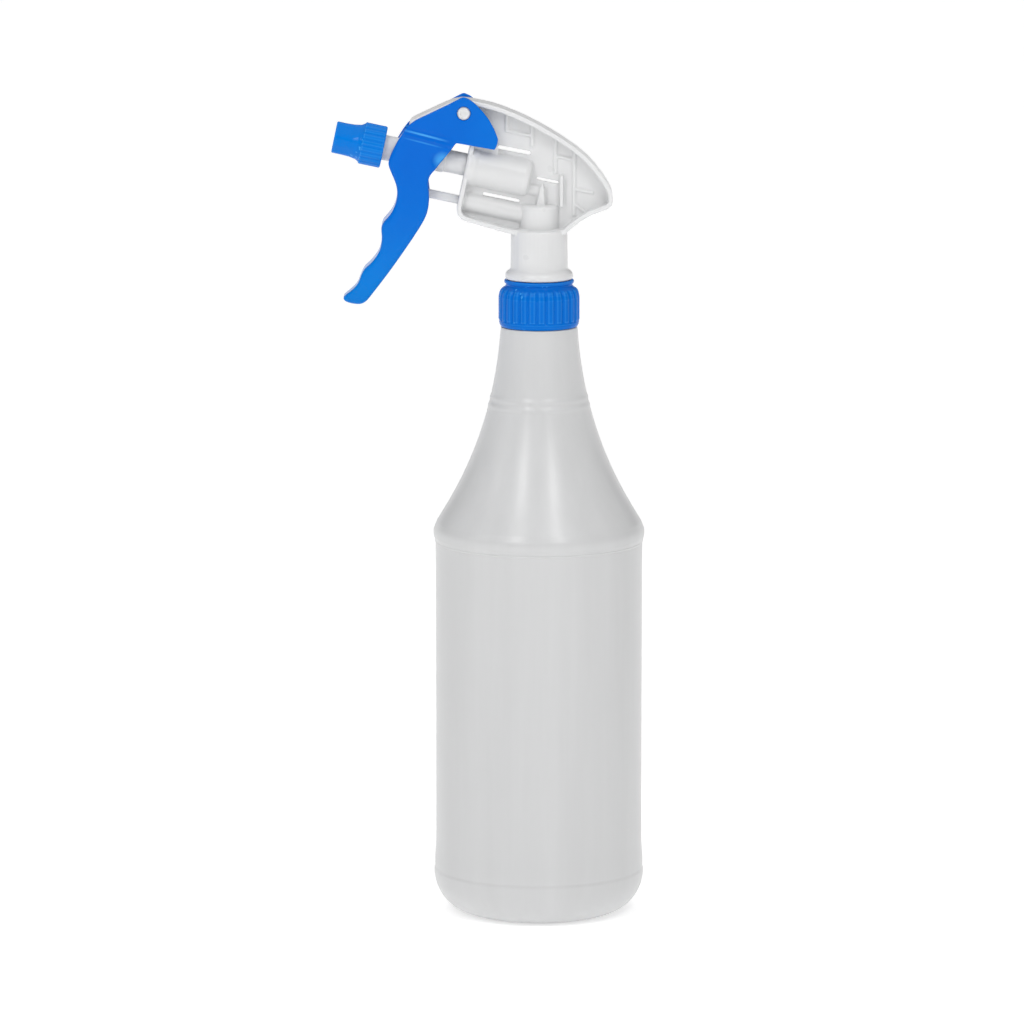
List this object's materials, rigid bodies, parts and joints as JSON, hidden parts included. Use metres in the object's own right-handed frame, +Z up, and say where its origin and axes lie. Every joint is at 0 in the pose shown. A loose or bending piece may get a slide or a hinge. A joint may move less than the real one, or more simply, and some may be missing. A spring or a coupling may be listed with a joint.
{
  "type": "trigger spray bottle",
  "caption": "Round shouldered plastic bottle with a ribbed screw collar and a plunger-type trigger sprayer whose adjusting nozzle rides on the piston rod.",
  "frame": {"origin": "on the bottle's axis, at the plane the bottle stands on, measured at the flat centre of its pushed-up base", "axes": "+Z up along the bottle's axis; the nozzle points towards -X; the sprayer is symmetric about Y = 0"},
  "size_m": [0.1296, 0.0878, 0.3418],
  "materials": {
    "bottle": "blow-moulded natural polyethylene, milky and satin, with faint flow and parting marks",
    "white_plastic": "injection-moulded white polypropylene, soft gloss, softened edges",
    "blue_plastic": "injection-moulded bright blue polypropylene, glossy, slightly lighter where thin",
    "natural_plastic": "uncoloured polypropylene",
    "tube_plastic": "extruded uncoloured polyethylene tube",
    "seal_liner": "soft foamed polyethylene liner",
    "rubber": "moulded nitrile rubber, dull",
    "steel": "bright stainless steel"
  },
  "bodies": {
    "bottle": {"bottle": "bottle"},
    "neck_gasket": {"neck_gasket": "seal_liner"},
    "collar": {"collar": "blue_plastic"},
    "sprayer_head": {"spray_frame": "white_plastic", "pivot_pin": "white_plastic", "barrel_bush": "white_plastic", "tube_retainer": "natural_plastic", "dip_tube": "tube_plastic", "strainer": "natural_plastic", "return_spring": "steel"},
    "inlet_ball": {"inlet_ball": "steel"},
    "trigger": {"trigger": "blue_plastic"},
    "plunger": {"plunger": "white_plastic", "piston_seal": "rubber", "spinner": "natural_plastic", "outlet_spring": "steel"},
    "outlet_ball": {"outlet_ball": "steel"},
    "nozzle_seal": {"nozzle_seal": "rubber"},
    "nozzle": {"nozzle": "blue_plastic"},
    "vent_rod": {"vent_rod": "white_plastic", "vent_seal": "rubber"}
  },
  "joints": [
    {"name": "sprayer_lift", "type": "slide", "parent": "bottle", "child": "neck_gasket", "axis": [0, 0, 1], "range_m": [0, 0.0063]},
    {"name": "collar_turn", "type": "hinge", "parent": "neck_gasket", "child": "collar", "pos_m": [0, 0, 0.2548], "axis": [0, 0, 1], "range_deg": [0, 540]},
    {"name": "head_swivel", "type": "hinge", "parent": "neck_gasket", "child": "sprayer_head", "pos_m": [0, 0, 0.2625], "axis": [0, 0, 1], "continuous": true},
    {"name": "trigger_squeeze", "type": "hinge", "parent": "sprayer_head", "child": "trigger", "pos_m": [-0.031, 0, 0.3351], "axis": [0, -1, 0], "range_deg": [0, 22], "stiffness_Nm_per_rad": 0.7, "springref_deg": -8.59},
    {"name": "plunger_slide", "type": "slide", "parent": "sprayer_head", "child": "plunger", "axis": [0.9781, 0, -0.2079], "range_m": [0, 0.0086], "deforming": ["return_spring"]},
    {"name": "vent_rod_slide", "type": "slide", "parent": "sprayer_head", "child": "vent_rod", "axis": [0.9781, 0, -0.2079], "range_m": [0, 0.0145]},
    {"name": "nozzle_advance", "type": "slide", "parent": "plunger", "child": "nozzle_seal", "axis": [-0.9781, 0, 0.2079], "range_m": [0, 0.0012]},
    {"name": "nozzle_turn", "type": "hinge", "parent": "nozzle_seal", "child": "nozzle", "pos_m": [-0.07458, 0, 0.32248], "axis": [-0.9781, 0, 0.2079], "range_deg": [0, 290]},
    {"name": "outlet_ball_lift", "type": "slide", "parent": "plunger", "child": "outlet_ball", "axis": [-0.9781, 0, 0.2079], "range_m": [0, 0.001], "stiffness_N_per_m": 60, "springref_m": -0.001, "deforming": ["outlet_spring"]},
    {"name": "inlet_ball_lift", "type": "slide", "parent": "sprayer_head", "child": "inlet_ball", "axis": [0, 0, 1], "range_m": [0, 0.0015]}
  ],
  "couplings": [
    {"joint": "collar_turn", "follows": "sprayer_lift", "rad_per_m": 1484.3},
    {"joint": "plunger_slide", "follows": "trigger_squeeze", "m_per_rad": 0.022147},
    {"joint": "vent_rod_slide", "follows": "trigger_squeeze", "m_per_rad": 0.037464},
    {"joint": "nozzle_turn", "follows": "nozzle_advance", "rad_per_m": 4188.8}
  ]
}
